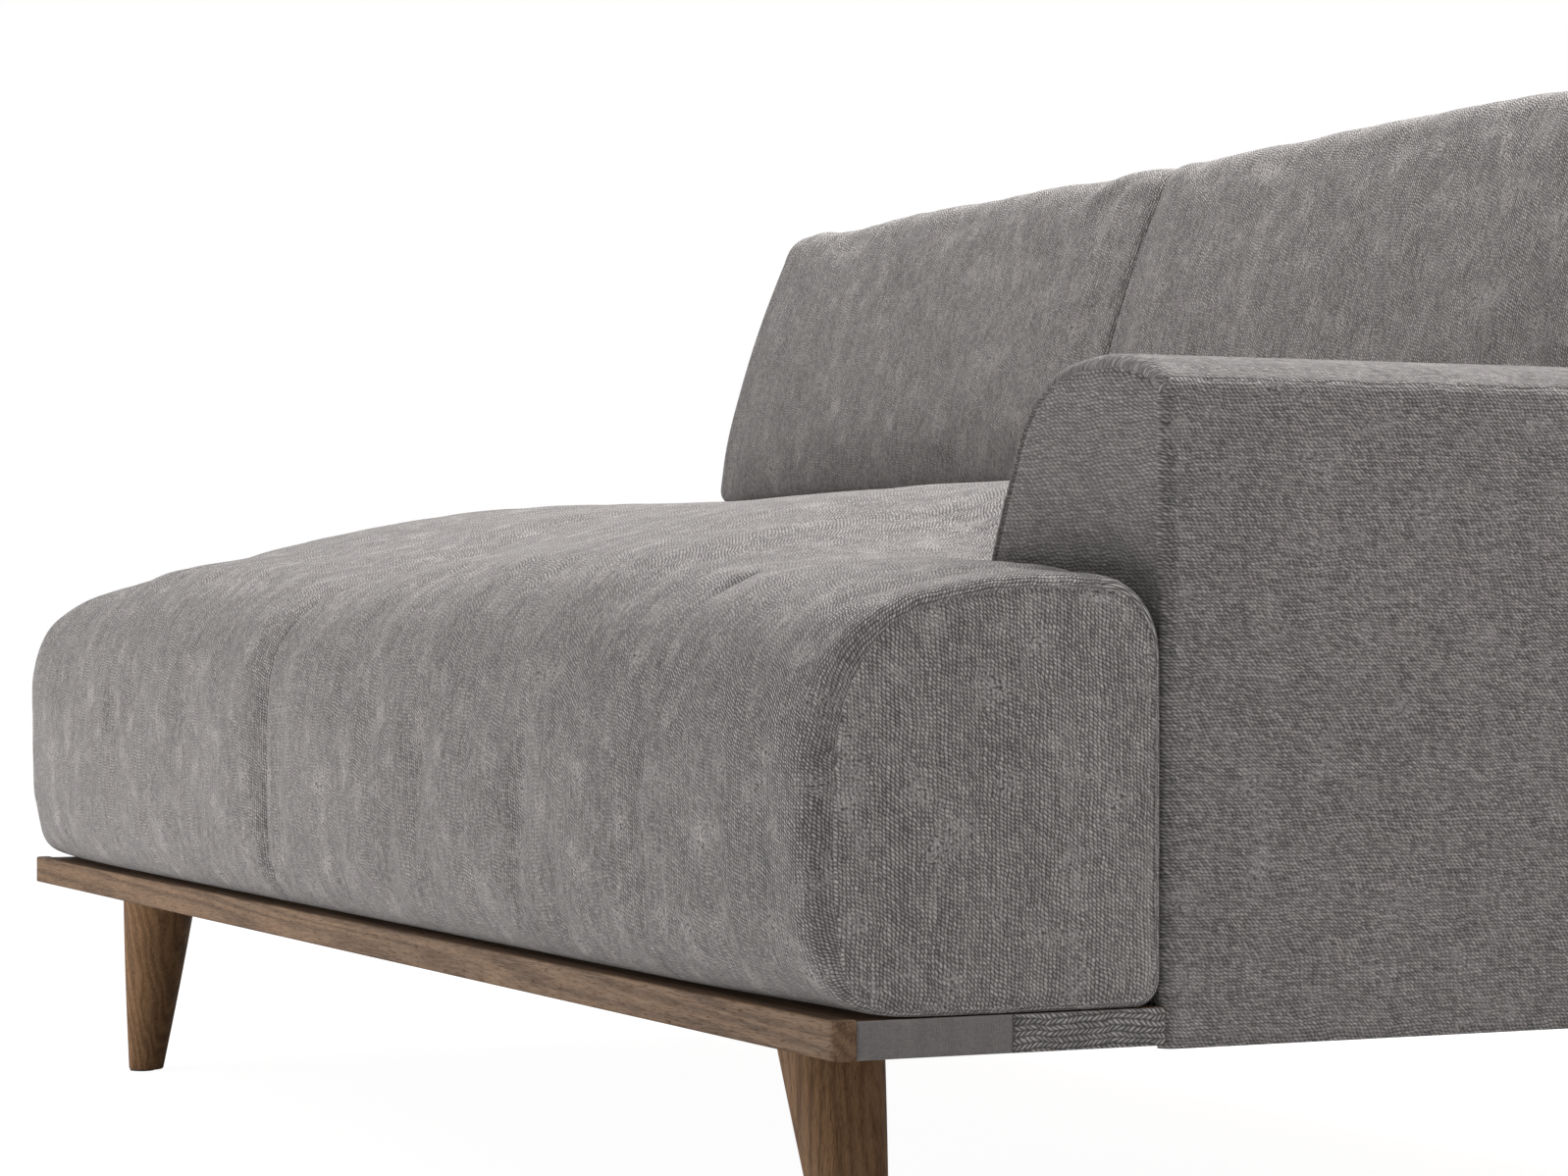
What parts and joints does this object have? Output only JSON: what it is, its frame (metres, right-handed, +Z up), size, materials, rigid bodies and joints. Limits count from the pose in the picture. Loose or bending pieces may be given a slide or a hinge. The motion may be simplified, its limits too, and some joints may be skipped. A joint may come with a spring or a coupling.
{
  "type": "modular sofa section",
  "caption": "Modular sofa end section with one padded arm, wrap-round seat cushion, loose leaning back cushions, slim wooden front rail and splayed tapered legs.",
  "frame": {"origin": "on the floor, under the middle of the section's outer box", "axes": "+X towards the arm, which is on the right seen from the front; -Y towards the front; +Z up"},
  "size_m": [1.71, 0.98, 0.7948],
  "materials": {
    "oiled_wood": "oiled, satin, open straight grain",
    "plywood": "raw sawn plywood",
    "frame_timber": "raw planed beech",
    "webbing": "elastic webbing with stripes",
    "lining_cloth": "black non-woven lining",
    "zinc_steel": "zinc plated",
    "black_plastic": "matt moulded plastic",
    "woven_fabric": "warm mid grey plain weave with slubs",
    "coarse_fabric": "the same cloth in a coarser weave",
    "cushion_fabric": "warm mid grey brushed weave with soft nap",
    "foam": "upholstery foam"
  },
  "bodies": {
    "frame": {"front_rail": "oiled_wood", "front_board": "oiled_wood", "rear_board": "plywood", "left_board": "plywood", "right_board": "plywood", "centre_board": "plywood", "deck_front_beam": "frame_timber", "deck_rear_beam": "frame_timber", "deck_left_beam": "frame_timber", "deck_right_beam": "frame_timber", "deck_centre_beam": "frame_timber", "corner_blocks": "plywood", "seat_webbing": "webbing", "deck_cloth": "lining_cloth", "underside_lining": "lining_cloth", "platform_screws": "zinc_steel", "front_left_leg": "oiled_wood", "front_right_leg": "oiled_wood", "rear_left_leg": "oiled_wood", "rear_right_leg": "oiled_wood", "leg_bolts": "zinc_steel", "leg_nuts": "zinc_steel", "leg_glides": "black_plastic", "side_band": "woven_fabric", "side_band_coarse": "coarse_fabric", "left_end_cover": "woven_fabric", "arm_front_post": "frame_timber", "arm_rear_post": "frame_timber", "arm_top_rail": "frame_timber", "arm_bottom_rail": "frame_timber", "arm_side_panel": "plywood", "arm_padding": "foam", "arm_side_cover": "woven_fabric", "arm_front_cover": "woven_fabric", "arm_rear_cover": "woven_fabric", "arm_top_cover": "woven_fabric", "arm_bolts": "zinc_steel", "back_left_post": "frame_timber", "back_centre_post": "frame_timber", "back_right_post": "frame_timber", "back_top_rails": "frame_timber", "back_bottom_rails": "frame_timber", "back_webbing": "webbing", "back_padding": "foam", "back_front_cover": "woven_fabric", "back_rear_cover": "woven_fabric", "back_end_cover": "woven_fabric", "back_bolts": "zinc_steel"},
    "right_seat": {"right_seat_cover": "cushion_fabric", "right_lip_cover": "cushion_fabric", "right_ear_cover": "cushion_fabric", "right_seat_core": "foam"},
    "left_seat": {"left_seat_cover": "cushion_fabric", "left_lip_cover": "cushion_fabric", "left_seat_core": "foam"},
    "right_back": {"right_back_cover": "cushion_fabric", "right_back_core": "foam"},
    "left_back": {"left_back_cover": "cushion_fabric", "left_back_core": "foam"}
  },
  "joints": [
    {"name": "right_seat_lift", "type": "slide", "parent": "frame", "child": "right_seat", "axis": [0, 0, 1], "range_m": [0, 0.4]},
    {"name": "left_seat_lift", "type": "slide", "parent": "frame", "child": "left_seat", "axis": [0, 0, 1], "range_m": [0, 0.4]},
    {"name": "right_back_lift", "type": "slide", "parent": "right_seat", "child": "right_back", "axis": [0, 0.2419, 0.9703], "range_m": [0, 0.35]},
    {"name": "left_back_lift", "type": "slide", "parent": "left_seat", "child": "left_back", "axis": [0, 0.2419, 0.9703], "range_m": [0, 0.35]}
  ]
}
